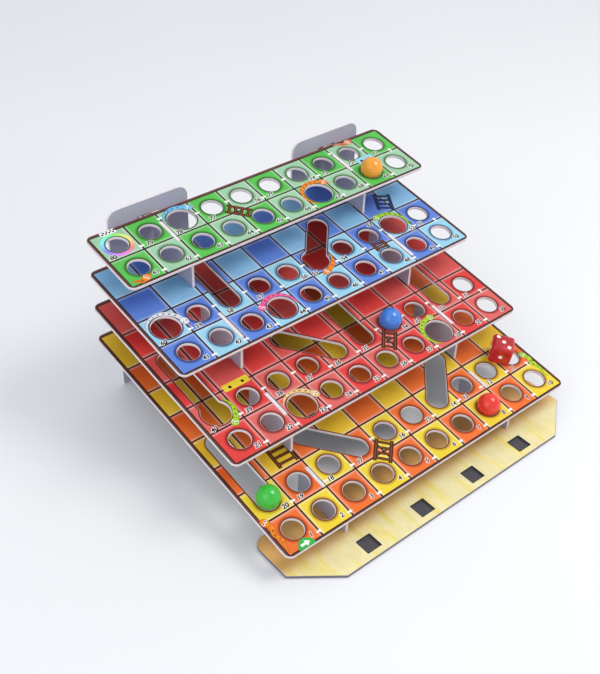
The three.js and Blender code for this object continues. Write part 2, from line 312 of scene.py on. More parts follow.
def share(name, description, value):
    """A share of a whole."""
    return FloatProperty(
        name=name, description=description, default=value, min=0.0, max=1.0, subtype="FACTOR"
    )


def number(name, description, value):
    """A plain number above zero."""
    return FloatProperty(name=name, description=description, default=value, min=0.0)


def angle(name, description, degrees):
    """An angle, stored in radians."""
    return FloatProperty(
        name=name, description=description, default=math.radians(degrees), subtype="ANGLE"
    )


def point(name, description, place):
    """A place in metres."""
    return FloatVectorProperty(
        name=name, description=description, default=place, subtype="TRANSLATION", unit="LENGTH"
    )


def linear_colour(name, description, parts):
    """A colour of light."""
    return FloatVectorProperty(
        name=name, description=description, default=parts, subtype="COLOR", size=3, min=0.0, max=1.0
    )


def colour(name, description, code):
    """A colour given as a six-digit screen colour."""
    parts = [int(code[i : i + 2], 16) / 255 for i in (0, 2, 4)]
    parts = [part / 12.92 if part <= 0.04045 else ((part + 0.055) / 1.055) ** 2.4 for part in parts]
    return linear_colour(name, description, parts)


class BoardCards(bpy.types.PropertyGroup):
    """Sizes of the cut cards."""

    border: length("Border", "Dark margin around the squares", 3)
    corner: length("Corner", "Rounding of the tiers' corners", 5)
    thickness: length("Thickness", "Thickness of the card", 2)
    edge: length("Edge", "Softness of a cut edge", 0.25)
    hole: length("Hole", "Width of a seat for a ball and of a slide", 14.5)
    snake_hole: length("Snake hole", "Width of a hole that a ball drops through", 20)
    slit_gap: length("Slit gap", "Room around a tab in its slit", 0.15)
    back_tab: length("Back tab", "Width of the tabs on the tiers' back edges", 18)
    back_tab_reach: length("Back tab reach", "Length of those tabs", 2.229)
    back_tab_corner: length("Back tab corner", "Rounding of those tabs", 0.5)
    post_corner: length("Post corner", "Rounding of the posts' upper corners", 8)
    post_foot: length("Post foot", "Rounding of the posts' lower corners", 0.5)
    strip_corner: length("Strip corner", "Rounding of the strip's back corners", 8)
    strip_point: length("Strip point", "Rounding of the strip's other corners", 0.6)
    strip_cut_x: length("Strip cut width", "Width of the strip's cut front corners", 30)
    strip_cut_y: length("Strip cut depth", "Depth of the strip's cut front corners", 23)
    strip_slit_start: length("Strip slit start", "Strip's slits behind its front edge", 31.5)
    strip_slit: length("Strip slit", "Length of the strip's slits", 16)
    park_hole: length("Parking hole", "Side of a square parking hole", 11.5)
    park_corner: length("Parking corner", "Rounding of a parking hole's corners", 0.4)
    park_spacing: length("Parking spacing", "Distance between parking holes", 47.5)
    park_inset: length("Parking inset", "Parking holes behind the strip's front edge", 10.5)
    # A dark backing under the parking holes, painted shade in them.
    liner: length("Liner", "Thickness of the dark backing in the parking holes", 0.17)
    liner_lift: length("Liner lift", "Room under that backing", 0.03)
    liner_gap: length("Liner gap", "Room around that backing", 0.05)


class BoardPrint(bpy.types.PropertyGroup):
    """Sizes and strengths of what is printed on the cards."""

    layer: length("Ink layer", "Height of one printed layer", 0.012)
    line: length("Grid line", "Width of the lines between squares", 1.25)
    front_border: length("Front border", "Width of the printed border at the front", 2.1)
    side_border: length("Side border", "Width of the printed border at the sides", 2.6)
    border_line: length("Border line", "Width of the dark line along the border", 0.5)
    # Painted highlight: the squares are printed lighter near the grid lines.
    pale_edge: length("Pale edge", "Width of the light that fades in from the lines", 3.2)
    pale_share: share("Pale share", "Strength of that light", 0.3)
    # Painted shade that darkens each square in the rows under the next tier.
    rear_fade: share("Rear fade", "Strength of the fade in the rows under the next tier", 0.4)
    rubbed_edge: length("Rubbed edge", "Width of the rubbed print along the cut edges", 0.4)
    rubbed_share: share("Rubbed share", "Strength of the rubbing", 0.7)
    rim: length("Hole rim", "Width of the line around a hole", 0.95)
    rim_dark: share("Rim dark", "How near a hole's rim comes to the lines' colour", 0.78)
    # Painted shade round the seats, soft and fading out from their rims.
    glow: length("Hole shade", "Width of the soft shade around a seat's rim", 2.1)
    glow_share: share("Hole shade share", "Strength of that shade", 0.75)
    glow_dark: share("Hole shade dark", "How near that shade comes to the lines' colour", 0.55)
    figure: length("Figure", "Size of the numbers", 4.9)
    figure_weight: length("Figure weight", "Added weight of the numbers", 0.14)
    outline: length("Figure outline", "White edge of the numbers", 0.45)
    arrow: length("Arrow", "Length of a path arrow", 4.3)
    rail: length("Ladder rail", "Width of a ladder's rail", 2.1)
    rung_step: length("Rung step", "Distance between a ladder's rungs", 4.6)
    snake: length("Snake", "Width of a snake's body", 3.0)
    snake_dark: share("Snake dark", "How near a snake's bands come to the lines' colour", 0.6)
    head_swing: length("Head swing", "How far a curled snake's head swings out", 0.96)
    finish_ring: length("Finish ring", "Width of the ring round the last seat", 2.6)
    # Painted shadow of the lowest tier on the strip, warm and darker under its front edge.
    warm_start: length("Warm start", "Start of the strip's warm tone before the lowest tier", 4)
    warm_end: length("Warm end", "Depth under the lowest tier where that tone is full", 12)


class BoardInks(bpy.types.PropertyGroup):
    """Colours of the print and of the loose pieces."""

    bottom_tier_first: colour("Orange", "First squares of the lowest tier", "F0722E")
    bottom_tier_second: colour("Yellow", "Second squares of the lowest tier", "F0D236")
    second_tier_first: colour("Red", "First squares of the second tier", "E2423E")
    second_tier_second: colour("Light red", "Second squares of the second tier", "DE6660")
    third_tier_first: colour("Blue", "First squares of the third tier", "5E84D6")
    third_tier_second: colour("Light blue", "Second squares of the third tier", "98CFE6")
    top_tier_first: colour("Green", "First squares of the top tier", "58BE50")
    top_tier_second: colour("Light green", "Second squares of the top tier", "9ECAA6")
    line: colour("Lines", "Grid lines", "2E1812")
    border: colour("Border", "Border of the tiers", "6C443F")
    core: colour("Card core", "Cut edges of the tiers", "EEE4E6")
    # Grey board of the strip's cut edges, made dark also as painted shade along its front edge.
    strip_core: colour("Strip core", "Cut edges of the parking strip", "7E7A86")
    paper: colour("Backing", "Undersides of the tiers and the strip", "7C7A80")
    support: colour("Supports", "Risers and posts", "B0ACBE")
    strip: colour("Strip", "Pale wood of the parking strip", "F4E7B2")
    streak: colour("Streak", "Yellow streaks of the parking strip", "F4DE52")
    # Painted shadow of the tiers on the strip.
    strip_back: colour("Strip back", "Warm tone of the strip under the tiers", "E6A050")
    # Painted shade: dark backing and walls of the parking holes.
    liner: colour("Liner", "Dark backing seen in the parking holes", "565459")
    white: colour("White", "White ink", "FCFAF6")
    black: colour("Black", "Black ink", "16120F")
    brown: colour("Brown", "Edge of the brown ladders", "461A0C")
    brown_light: colour("Light brown", "Middle of the brown ladders", "925020")
    night: colour("Night blue", "Edge of the blue ladder", "15173A")
    night_light: colour("Light night blue", "Middle of the blue ladder", "3C4C86")
    plaque: colour("Plaque", "Start plaque", "32B24A")
    tongue: colour("Tongue", "Snakes' tongues", "D8232A")
    lime: colour("Lime", "Lime snakes", "A9D62C")
    amber: colour("Amber", "Amber snakes", "F58A1C")
    cream: colour("Cream", "Cream snakes", "F4C88A")
    rose: colour("Rose", "Rose snakes", "F2629B")
    salmon: colour("Salmon", "Salmon snakes", "F0946E")
    pearl: colour("Pearl", "Pearl snakes", "E6EAF0")
    sky: colour("Sky", "Sky blue snakes", "6FC6F2")
    green_ball: colour("Green ball", "Plastic of the green ball", "35C43A")
    red_ball: colour("Red ball", "Plastic of the red ball", "F0301F")
    blue_ball: colour("Blue ball", "Plastic of the blue ball", "4085E4")
    orange_ball: colour("Orange ball", "Plastic of the orange ball", "F7A224")
    die: colour("Die", "Clear plastic of the die", "EC2632")


class BoardPieces(bpy.types.PropertyGroup):
    """Sizes of the balls and the die."""

    seam_depth: length("Seam depth", "Depth of the seam round a ball", 0.24)
    seam_width: length("Seam width", "Width of the seam round a ball", 0.56)
    die: length("Die", "Side of the die", 16)
    die_round: length("Die rounding", "Rounding of the die's edges", 2.5)
    die_turn: angle("Die turn", "How far the die is turned on its square", 38)
    pip: length("Pip", "Width of a pip", 3)
    pip_depth: length("Pip depth", "Depth of a pip", 0.5)
    pip_spacing: length("Pip spacing", "Distance between pips", 4.2)


class BoardStudio(bpy.types.PropertyGroup):
    """Camera, lights and floor of the studio."""

    azimuth: angle("Azimuth", "Camera's heading from the board's front", 41.11)
    elevation: angle("Elevation", "How far the camera looks down", 38.81)
    roll: angle("Roll", "Camera's tilt to its side", 2.11)
    place: point("Place", "Camera's place", (-0.3789, -0.3873, 0.4976))
    lens: number("Lens", "Focal length in millimetres", 54.13)
    aim: point("Aim", "Where the lights point", (0.0, 0.0, 0.06))
    key_place: point("Key place", "Place of the main light", (0.55, -0.4, 1.05))
    key_size: length("Key size", "Width of the main light", 600)
    key_power: number("Key power", "Power of the main light in watts", 5.6)
    key_tint: linear_colour("Key tint", "Colour of the main light", (1.0, 0.98, 0.95))
    fill_place: point("Fill place", "Place of the side light", (-0.9, -0.3, 0.7))
    fill_size: length("Fill size", "Width of the side light", 900)
    fill_power: number("Fill power", "Power of the side light in watts", 2.2)
    fill_tint: linear_colour("Fill tint", "Colour of the side light", (0.95, 0.97, 1.0))
    sky_power: number("Surround power", "Strength of the surrounding light", 0.78)
    sky_tint: linear_colour("Surround tint", "Colour of the surrounding light", (0.93, 0.96, 1.0))
    floor: colour("Floor", "Pale floor", "F1F1F3")
    floor_half: length("Floor half", "Half the side of the floor", 20000)
    floor_gap: length("Floor gap", "Room between the floor and the board", 0.1)


def cards():
    return bpy.context.scene.board_cards


def prints():
    return bpy.context.scene.board_print


def inks():
    return bpy.context.scene.board_inks


def pieces():
    return bpy.context.scene.board_pieces


def studio():
    return bpy.context.scene.board_studio


# Places on the board

def centre_of(node):
    """The middle of a CAD node."""
    low, high = BOXES[node]
    return (low + high) / 2


def pitch():
    """Side of one square."""
    low, high = BOXES[LEVELS[0]]
    return (high.x - low.x - 2 * cards().border) / COLUMNS


def at(column, row):
    """A point on a tier's printed face, given in squares from its front left corner."""
    return Vector(((column - COLUMNS / 2) * pitch(), row * pitch()))


def middle(square):
    """The middle of a square given as (column, row)."""
    return at(square[0] + 0.5, square[1] + 0.5)


def tier_half():
    """Half the width of a tier."""
    return COLUMNS / 2 * pitch() + cards().border


def tier_rows(name):
    """Rows of squares on a tier, with those that lie under the tiers above it."""
    return PLAY_ROWS * (len(LEVELS) - LEVELS.index(name))


def tier_depth(name):
    """From the front line of the squares to the back edge, along the slope."""
    return tier_rows(name) * (pitch() + cards().border / PLAY_ROWS)


def tier_place(name):
    """Matrix of a tier's printed face: x across, y up the slope from the front line of its squares."""
    low, _ = BOXES[name]
    border, thickness = cards().border, cards().thickness
    y = low.y + border * math.cos(TILT)
    z = low.z + border * math.sin(TILT) + thickness * math.cos(TILT)
    return Matrix.Translation((0, y, z)) @ Matrix.Rotation(TILT, 4, "X")


def on_tier(rows, name):
    """The rows of a list that belong to a tier, without the tier's name."""
    return [row[1:] for row in rows if row[0] == name]


# Outlines

def left_of(vector):
    """The vector turned a quarter to its left."""
    return Vector((-vector.y, vector.x))


def heading_of(vector):
    """The vector's angle from x."""
    return math.atan2(vector.y, vector.x)


def arc(centre, radius, start, end, steps):
    """Points of an arc, both ends included."""
    angles = [start + (end - start) * i / steps for i in range(steps + 1)]
    return [Vector((centre[0] + radius * math.cos(a), centre[1] + radius * math.sin(a))) for a in angles]


def circle(centre, radius, steps=56):
    """Points of a circle."""
    return arc(centre, radius, 0, 2 * math.pi, steps)[:-1]


def ellipse(centre, along, across, heading, steps):
    """An ellipse turned to a heading."""
    turn = Matrix.Rotation(heading, 2)
    return [centre + turn @ Vector((p.x * along, p.y * across)) for p in circle((0, 0), 1, steps)]


def rectangle(low, high):
    """The four corners between two opposite ones."""
    (left, front), (right, back) = low, high
    return [Vector(corner) for corner in ((left, front), (right, front), (right, back), (left, back))]


def rounded(corners, radius=0.0, steps=8):
    """A closed outline with round corners. A corner is (x, y) or (x, y, a radius of its own)."""
    outline = []
    for i, corner in enumerate(corners):
        here = Vector(corner[:2])
        own = corner[2] if len(corner) > 2 else radius
        if own == 0:
            outline.append(here)
            continue
        back = (Vector(corners[i - 1][:2]) - here).normalized()
        ahead = (Vector(corners[(i + 1) % len(corners)][:2]) - here).normalized()
        half = back.angle(ahead) / 2
        centre = here + (back + ahead).normalized() * (own / math.sin(half))
        start = here + back * (own / math.tan(half)) - centre
        end = here + ahead * (own / math.tan(half)) - centre
        first = heading_of(start)
        sweep = math.atan2(start.x * end.y - start.y * end.x, start.dot(end))
        outline += arc(centre, own, first, first + sweep, steps)
    return outline


def slot_outline(start, start_radius, end, end_radius, steps=28):
    """A slot with round ends; the first end can be wider than the slot."""
    heading = heading_of(end - start)
    mouth = math.asin(min(1, end_radius / start_radius))
    first = arc(start, start_radius, heading + mouth, heading + 2 * math.pi - mouth, steps)
    return first + arc(end, end_radius, heading - QUARTER, heading + QUARTER, steps)


def facing(outline, solid_inside):
    """The outline, turned so that the solid lies on its left."""
    pairs = zip(outline, outline[1:] + outline[:1])
    area = sum(a.x * b.y - b.x * a.y for a, b in pairs)
    return outline if (area > 0) == solid_inside else outline[::-1]


def shifted(outline, distance):
    """The outline moved to its left by a distance, with mitred corners that are cut short when sharp."""
    sharpest = 0.2
    moved = []
    for i, here in enumerate(outline):
        before = left_of((here - outline[i - 1]).normalized())
        after = left_of((outline[(i + 1) % len(outline)] - here).normalized())
        moved.append(here + (before + after) * (distance / max(sharpest, 1 + before.dot(after))))
    return moved


def contains(outline, place):
    """Whether a point lies inside an outline."""
    inside = False
    for a, b in zip(outline, outline[1:] + outline[:1]):
        if (a.y > place.y) != (b.y > place.y):
            crossing = a.x + (place.y - a.y) * (b.x - a.x) / (b.y - a.y)
            inside = inside != (place.x < crossing)
    return inside


# Solid shapes

def card_edge(steps=3):
    """Profile of a card's cut edge as (inset, height), from its upper face down to its lower face."""
    edge, thickness = cards().edge, cards().thickness
    turns = [QUARTER * i / steps for i in range(steps + 1)]
    upper = [(edge - edge * math.sin(a), edge * math.cos(a) - edge) for a in turns]
    lower = [(edge - edge * math.cos(a), edge - edge * math.sin(a) - thickness) for a in turns]
    return upper + lower


def ink_height(layer):
    """Height of a print above the card."""
    return LAYERS[layer] * prints().layer


def add_ring(mesh, outline, height):
    """Adds the points of an outline at a height."""
    return [mesh.verts.new((*place, height)) for place in outline]


def add_band(mesh, above, below, slot=0, smooth=True):
    """Adds the faces between two rings."""
    for i in range(len(above)):
        j = (i + 1) % len(above)
        face = mesh.faces.new((above[i], below[i], below[j], above[j]))
        face.material_index = slot
        face.smooth = smooth


def close_face(mesh, loops, slot, upward):
    """Fills a plate's face between its outer loop and the loops of its holes."""
    inside_only, touching = 1, 1e-9
    points = [vert for loop in loops for vert in loop]
    owner = [index for index, loop in enumerate(loops) for _ in loop]
    edges = []
    for loop in loops:
        first = len(edges)
        edges += [(first + i, first + (i + 1) % len(loop)) for i in range(len(loop))]
    flat = [[Vector(vert.co.xy) for vert in loop] for loop in loops]
    places = [vert.co.xy for vert in points]
    filled, _, triangles, *_ = delaunay_2d_cdt(places, edges, [], inside_only, touching)
    if len(filled) != len(points):
        raise RuntimeError("The outlines of a plate cross each other")
    for triangle in triangles:
        owners = {owner[i] for i in triangle}
        if len(owners) == 1 and owners != {0}:
            centre = sum((Vector(places[i]) for i in triangle), Vector((0, 0))) / 3
            if contains(flat[owner[triangle[0]]], centre):
                continue
        corners = [points[i] for i in triangle]
        face = mesh.faces.new(corners if upward else corners[::-1])
        face.material_index = slot


def add_plate(mesh, outline, holes, profile, slots=(0, 0, 0), hole_slots=()):
    """Adds a closed plate.

    Slots are the materials of its upper face, its edges and its lower face. The first holes can have
    walls of their own material, one for each of hole_slots.
    """
    loops = [facing(outline, True)] + [facing(hole, False) for hole in holes]
    walls = [slots[1], *hole_slots, *[slots[1]] * (len(holes) - len(hole_slots))]
    upper, lower = [], []
    for loop, wall in zip(loops, walls):
        rings = [add_ring(mesh, shifted(loop, inset), height) for inset, height in profile]
        for above, below in zip(rings, rings[1:]):
            add_band(mesh, above, below, wall, smooth=len(profile) > 2)
        upper.append(rings[0])
        lower.append(rings[-1])
    close_face(mesh, upper, slots[0], True)
    close_face(mesh, lower, slots[2], False)


def add_print(mesh, outline, layer, slot=0, holes=()):
    """Adds a flat print in one of the ink layers."""
    profile = [(0, ink_height(layer)), (0, ink_height("foot"))]
    add_plate(mesh, outline, holes, profile, (slot, slot, slot))


def add_ribbon(mesh, path, widths, layer, slot):
    """Adds a printed band that follows a path, with its own width at each point."""
    top, foot = ink_height(layer), ink_height("foot")
    rings = []
    for i, here in enumerate(path):
        ahead = path[min(i + 1, len(path) - 1)] - path[max(i - 1, 0)]
        across = left_of(ahead).normalized() * (widths[i] / 2)
        right, left = here - across, here + across
        corners = [(*right, top), (*left, top), (*left, foot), (*right, foot)]
        rings.append([mesh.verts.new(corner) for corner in corners])
    for end in (rings[0][::-1], rings[-1]):
        mesh.faces.new(end).material_index = slot
    for first, last in zip(rings, rings[1:]):
        add_band(mesh, first, last, slot, smooth=False)


def add_bar(mesh, start, end, width, layer, slot):
    """Adds a straight printed bar."""
    add_ribbon(mesh, [start, end], [width, width], layer, slot)


def make_object(name, mesh, materials):
    """Turns a finished mesh into an object of the scene."""
    data = bpy.data.meshes.new(name)
    mesh.to_mesh(data)
    mesh.free()
    for material in materials:
        data.materials.append(material)
    made = bpy.data.objects.new(name, data)
    bpy.context.scene.collection.objects.link(made)
    return made


def make_piece(name, mesh, materials, place, replaced=(), body=BODY):
    """Turns a finished mesh into a piece that rides on a body."""
    piece = make_object(name, mesh, materials)
    piece.matrix_world = place
    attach(piece, body)
    if replaced:
        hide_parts(*replaced)


def print_on(tier, name, mesh, materials):
    """Turns a finished mesh into a piece of print on a tier."""
    make_piece(name, mesh, materials, tier_place(tier))


# Finishes

class Finish:
    """One procedural material while its nodes are put together."""

    def __init__(self, name):
        self.material = bpy.data.materials.new(name)
        self.material.use_nodes = True
        self.tree = self.material.node_tree
        self.shader = self.tree.nodes["Principled BSDF"]
        self.places = self.node("TexCoord").outputs

    def node(self, kind, **settings):
        """Adds a node."""
        made = self.tree.nodes.new("ShaderNode" + kind)
        for key, value in settings.items():
            setattr(made, key, value)
        return made

    def feed(self, socket, value):
        """Links a socket to another one, or sets it."""
        if isinstance(value, bpy.types.NodeSocket):
            self.tree.links.new(value, socket)
        else:
            socket.default_value = value

    def set(self, **values):
        """Links or sets the shader's sockets, named in lower case with underscores."""
        sockets = {socket.name.lower().replace(" ", "_"): socket for socket in self.shader.inputs}
        for key, value in values.items():
            self.feed(sockets[key], value)

    def split(self, vector):
        """The three parts of a vector."""
        made = self.node("SeparateXYZ")
        self.feed(made.inputs[0], vector)
        return made.outputs

    def math(self, operation, *values):
        """One operation on one or two values, or on more of them in turn."""
        first, *others = values
        if len(others) > 1:
            first = self.math(operation, *values[:-1])
        made = self.node("Math", operation=operation)
        self.feed(made.inputs[0], first)
        if others:
            self.feed(made.inputs[1], others[-1])
        return made.outputs[0]

    def blend(self, amount, first, second, mode="MIX"):
        """Two colours mixed by an amount."""
        made = self.node("Mix", data_type="RGBA", blend_type=mode)
        self.feed(made.inputs[0], amount)
        self.feed(made.inputs[6], first)
        self.feed(made.inputs[7], second)
        return made.outputs[2]

    def ease(self, value, low, high, start=0.0, end=1.0):
        """Runs smoothly from start to end while the value goes from low to high."""
        made = self.node("MapRange", interpolation_type="SMOOTHSTEP")
        for socket, item in zip(made.inputs, (value, low, high, start, end)):
            self.feed(socket, item)
        return made.outputs[0]

    def noise(self, scale, detail=3.0, stretch=(1.0, 1.0, 1.0)):
        """Noise on the piece; scale is in repeats to the metre."""
        mapping = self.node("Mapping")
        self.feed(mapping.inputs["Vector"], self.places["Object"])
        self.feed(mapping.inputs["Scale"], stretch)
        made = self.node("TexNoise")
        self.feed(made.inputs["Vector"], mapping.outputs[0])
        self.feed(made.inputs["Scale"], scale)
        self.feed(made.inputs["Detail"], detail)
        return made.outputs[0]

    def wander(self, noise, low, high):
        """A value that follows a noise between two limits."""
        usual_low, usual_high = 0.3, 0.7
        return self.ease(noise, usual_low, usual_high, low, high)

    def shade(self, tint, value):
        """The tint made darker or lighter by a value."""
        grey = self.node("CombineColor")
        for socket in grey.inputs[:3]:
            self.feed(socket, value)
        return self.blend(1.0, tint, grey.outputs[0], "MULTIPLY")

    def mottle(self, tint, scale, amount):
        """The tint made a little uneven: darker by the amount at most, and lighter by less."""
        lighter = amount * 0.4
        return self.shade(tint, self.wander(self.noise(scale), 1 - amount, 1 + lighter))

    def bump(self, height, strength, distance):
        """A fine relief."""
        made = self.node("Bump")
        self.feed(made.inputs["Strength"], strength)
        self.feed(made.inputs["Distance"], distance * MILLIMETRE)
        self.feed(made.inputs["Height"], height)
        self.set(normal=made.outputs[0])


def solid(tint):
    """A colour with full cover."""
    return (*tint, 1.0)


def darkened(tint, amount):
    """A colour drawn towards that of the lines."""
    return Vector(tint).lerp(Vector(inks().line), amount)


def varnish(finish, tint):
    """Satin varnish over printed paper with a fine fibre."""
    roughness = finish.wander(finish.noise(90), 0.45, 0.57)
    finish.set(base_color=tint, roughness=roughness, specular_ior_level=0.22)
    finish.bump(finish.noise(1500, detail=4), strength=0.12, distance=0.08)


def square_tints(finish, name, u, v):
    """The two inks of a tier's squares with painted shade in the rows under the next tier, and a deeper
    tone of them for the painted shades. Places are in squares.
    """
    do = finish.math
    first, second = (solid(getattr(inks(), f"{name}_{ink}")) for ink in ("first", "second"))
    odd = do("FLOORED_MODULO", do("ADD", do("FLOOR", u), do("FLOOR", v)), 2.0)
    # Painted shade: rows that run back under the next tier are printed deeper, with a soft darkening
    # across each square.
    behind = do("GREATER_THAN", v, PLAY_ROWS)
    kept = finish.ease(behind, 0.0, 1.0, 1.0, TIERS[name]["rear_shade_share"])
    tint = finish.blend(do("MULTIPLY", odd, kept), first, second)
    deep = finish.blend(1.0, tint, tint, "MULTIPLY")
    fade = finish.ease(do("FRACT", v), 0.15, 0.95, 0.0, prints().rear_fade)
    return finish.blend(do("MULTIPLY", fade, behind), tint, deep), deep


def seat_shade(finish, across, up):
    """Strength of the painted shade round the seats. Places are in squares."""
    do = finish.math
    aside, along = (do("SUBTRACT", do("FRACT", place), 0.5) for place in (across, up))
    reach = do("SQRT", do("ADD", do("POWER", aside, 2.0), do("POWER", along, 2.0)))
    rim = cards().hole / 2 + cards().edge + prints().rim
    reach = do("MULTIPLY", reach, pitch())
    shade = finish.ease(reach, rim, rim + prints().glow, prints().glow_share, 0.0)
    return do("MULTIPLY", shade, do("LESS_THAN", up, PLAY_ROWS))


def squares_finish(name):
    """Printed squares of a tier with grid lines, border and a soft shade round the seats."""
    finish = Finish(name + "_squares")
    do = finish.math
    side = pitch()
    x, y, _ = finish.split(finish.places["Object"])
    across = do("ADD", do("DIVIDE", x, side), COLUMNS / 2)
    up = do("DIVIDE", y, side)
    # The outer squares run on to the border.
    u = do("MINIMUM", do("MAXIMUM", across, 0.5), COLUMNS - 0.5)
    v = do("MINIMUM", do("MAXIMUM", up, 0.5), tier_rows(name) - 0.5)
    tint, deep = square_tints(finish, name, u, v)
    # Painted highlight: light that fades in from the lines, and painted shade: a dark shade round the
    # seats.
    nearest = do("MINIMUM", do("PINGPONG", u, 0.5), do("PINGPONG", v, 0.5))
    # Painted highlight: lighter print near the grid lines.
    light = finish.ease(nearest, 0.0, prints().pale_edge / side, prints().pale_share, 0.0)
    tint = finish.blend(light, tint, solid(inks().white))
    # Painted shade round the seats: the squares darken towards the lines' colour near each rim.
    dark = finish.blend(prints().glow_dark, deep, solid(inks().line))
    tint = finish.blend(seat_shade(finish, across, up), tint, dark)
    tint = finish.mottle(tint, scale=45, amount=0.07)
    # Grid lines, then the border with a dark line along its inner side.
    beside = do("SUBTRACT", tier_half(), do("ABSOLUTE", x))
    ahead = do("ADD", y, cards().border)
    behind = do("SUBTRACT", tier_depth(name), y)
    borders = ((prints().side_border, beside), (prints().front_border, ahead), (cards().border, behind))
    inside = do("MAXIMUM", *(do("SUBTRACT", width, gap) for width, gap in borders))
    on_grid = do("LESS_THAN", nearest, prints().line / 2 / side)
    line = do("MAXIMUM", on_grid, do("GREATER_THAN", inside, 0.0))
    tint = finish.blend(line, tint, finish.mottle(solid(inks().line), scale=60, amount=0.25))
    margin = finish.ease(inside, prints().border_line, prints().line)
    tint = finish.blend(margin, tint, finish.mottle(solid(inks().border), scale=60, amount=0.2))
    # Print rubbed off in places along the cut edges.
    gap = do("MINIMUM", beside, ahead, behind)
    close = finish.ease(gap, cards().edge, prints().rubbed_edge, prints().rubbed_share, 0.0)
    patchy = finish.ease(finish.noise(420, detail=4), 0.42, 0.6)
    varnish(finish, finish.blend(do("MULTIPLY", close, patchy), tint, solid(inks().core)))
    return finish.material


def core_finish(name, tint):
    """Pressed board in the cut edges, with faint plies."""
    finish = Finish(name)
    plies = finish.noise(700, stretch=(0.15, 0.15, 3.0))
    tint = finish.shade(solid(tint), finish.wander(plies, 0.82, 1.0))
    finish.set(base_color=finish.mottle(tint, scale=400, amount=0.08), roughness=0.85)
    finish.bump(plies, strength=0.35, distance=0.15)
    return finish.material


def paper_finish():
    """Uncoated backing paper."""
    finish = Finish("backing_paper")
    tint = finish.mottle(solid(inks().paper), scale=900, amount=0.08)
    finish.set(base_color=finish.mottle(tint, scale=30, amount=0.05), roughness=0.8)
    finish.bump(finish.noise(1200, detail=5), strength=0.3, distance=0.1)
    return finish.material


def ink_finish(name, tint):
    """One printed ink under the varnish."""
    finish = Finish(name + "_ink")
    varnish(finish, finish.mottle(solid(tint), scale=160, amount=0.1))
    return finish.material


def strip_finish(front, back):
    """Pale wood print with streaks from front to back, and a warm painted shadow under the tiers."""
    finish = Finish("strip_print")
    _, y, _ = finish.split(finish.places["Object"])
    broad = finish.ease(finish.noise(130, stretch=(1.0, 0.16, 1.0)), 0.46, 0.7)
    narrow = finish.ease(finish.noise(380, detail=2, stretch=(1.0, 0.1, 1.0)), 0.48, 0.72, 0.0, 0.4)
    streaks = finish.math("MULTIPLY", finish.math("MAXIMUM", broad, narrow), 0.75)
    tint = finish.blend(streaks, solid(inks().strip), solid(inks().streak))
    # Painted shadow: the strip turns warm and darker towards the back, under the lowest tier.
    warm = finish.ease(y, front, back, 0.0, 0.75)
    tint = finish.blend(warm, tint, solid(inks().strip_back))
    varnish(finish, finish.mottle(tint, scale=80, amount=0.06))
    return finish.material


def support_finish(axis):
    """Grey lilac card: paper on the faces that look along the axis, bare core on the edges."""
    finish = Finish(f"support_card_{axis}")
    normal = finish.split(finish.places["Normal"])
    flat = finish.math("GREATER_THAN", finish.math("ABSOLUTE", normal[axis]), 0.8)
    paper = finish.mottle(solid(inks().support), scale=25, amount=0.08)
    paper = finish.mottle(paper, scale=900, amount=0.06)
    core = finish.mottle(solid(inks().core), scale=500, amount=0.12)
    finish.set(base_color=finish.blend(flat, core, paper))
    finish.set(roughness=finish.ease(flat, 0.0, 1.0, 0.85, 0.55))
    finish.bump(finish.noise(1100, detail=4), strength=0.2, distance=0.1)
    return finish.material


def rainbow_finish():
    """All hues round the last seat."""
    first_hue, saturation, brightness = 1.12, 0.74, 0.9
    finish = Finish("rainbow_ring")
    x, y, _ = finish.split(finish.places["Object"])
    turn = finish.math("DIVIDE", finish.math("ARCTAN2", y, x), 2 * math.pi)
    hue = finish.math("FRACT", finish.math("ADD", turn, first_hue))
    made = finish.node("CombineColor", mode="HSV")
    for socket, value in zip(made.inputs, (hue, saturation, brightness)):
        finish.feed(socket, value)
    varnish(finish, finish.mottle(made.outputs[0], scale=200, amount=0.08))
    return finish.material


def gloss_finish(name, tint):
    """Glossy moulded plastic with faint flow marks."""
    finish = Finish(name + "_plastic")
    flow = finish.noise(160, stretch=(1.0, 1.0, 2.5))
    finish.set(base_color=finish.mottle(solid(tint), scale=90, amount=0.12))
    finish.set(roughness=finish.wander(flow, 0.14, 0.24), coat_weight=0.4, coat_roughness=0.06)
    finish.set(subsurface_weight=0.15, subsurface_scale=0.004)
    finish.bump(flow, strength=0.04, distance=0.2)
    return finish.material


def clear_red_finish():
    """Clear red plastic with a slightly cloudy body."""
    finish = Finish("die_plastic")
    cloud = finish.noise(140)
    finish.set(base_color=finish.mottle(solid(inks().die), scale=140, amount=0.2))
    finish.set(roughness=finish.wander(cloud, 0.1, 0.18), coat_weight=0.3, coat_roughness=0.05)
    finish.set(transmission_weight=0.5, ior=1.49, subsurface_weight=0.3, subsurface_scale=0.006)
    finish.bump(cloud, strength=0.03, distance=0.2)
    return finish.material


def floor_finish():
    """Pale matt floor with a trace of tone."""
    finish = Finish("pale_floor")
    finish.set(base_color=finish.mottle(solid(studio().floor), scale=3, amount=0.015), roughness=0.65)
    return finish.material


# Tiers

def wide_squares(spec):
    """Squares of a tier with a snake hole."""
    return set(spec["drops"]) | {start for start, _, wide in spec["slides"] if wide}


def round_holes(spec):
    """Outlines of a tier's seats, snake holes and slides."""
    seat, drop = cards().hole / 2, cards().snake_hole / 2
    taken = set(spec["drops"]) | {start for start, _, _ in spec["slides"]}
    squares = [(column, row) for row in range(PLAY_ROWS) for column in range(COLUMNS)]
    holes = [circle(middle(square), seat) for square in squares if square not in taken]
    holes += [circle(middle(square), drop) for square in spec["drops"]]
    for start, end, wide in spec["slides"]:
        landing = middle(end) + Vector((0, cards().border))
        holes.append(slot_outline(middle(start), drop if wide else seat, landing, seat))
    return holes


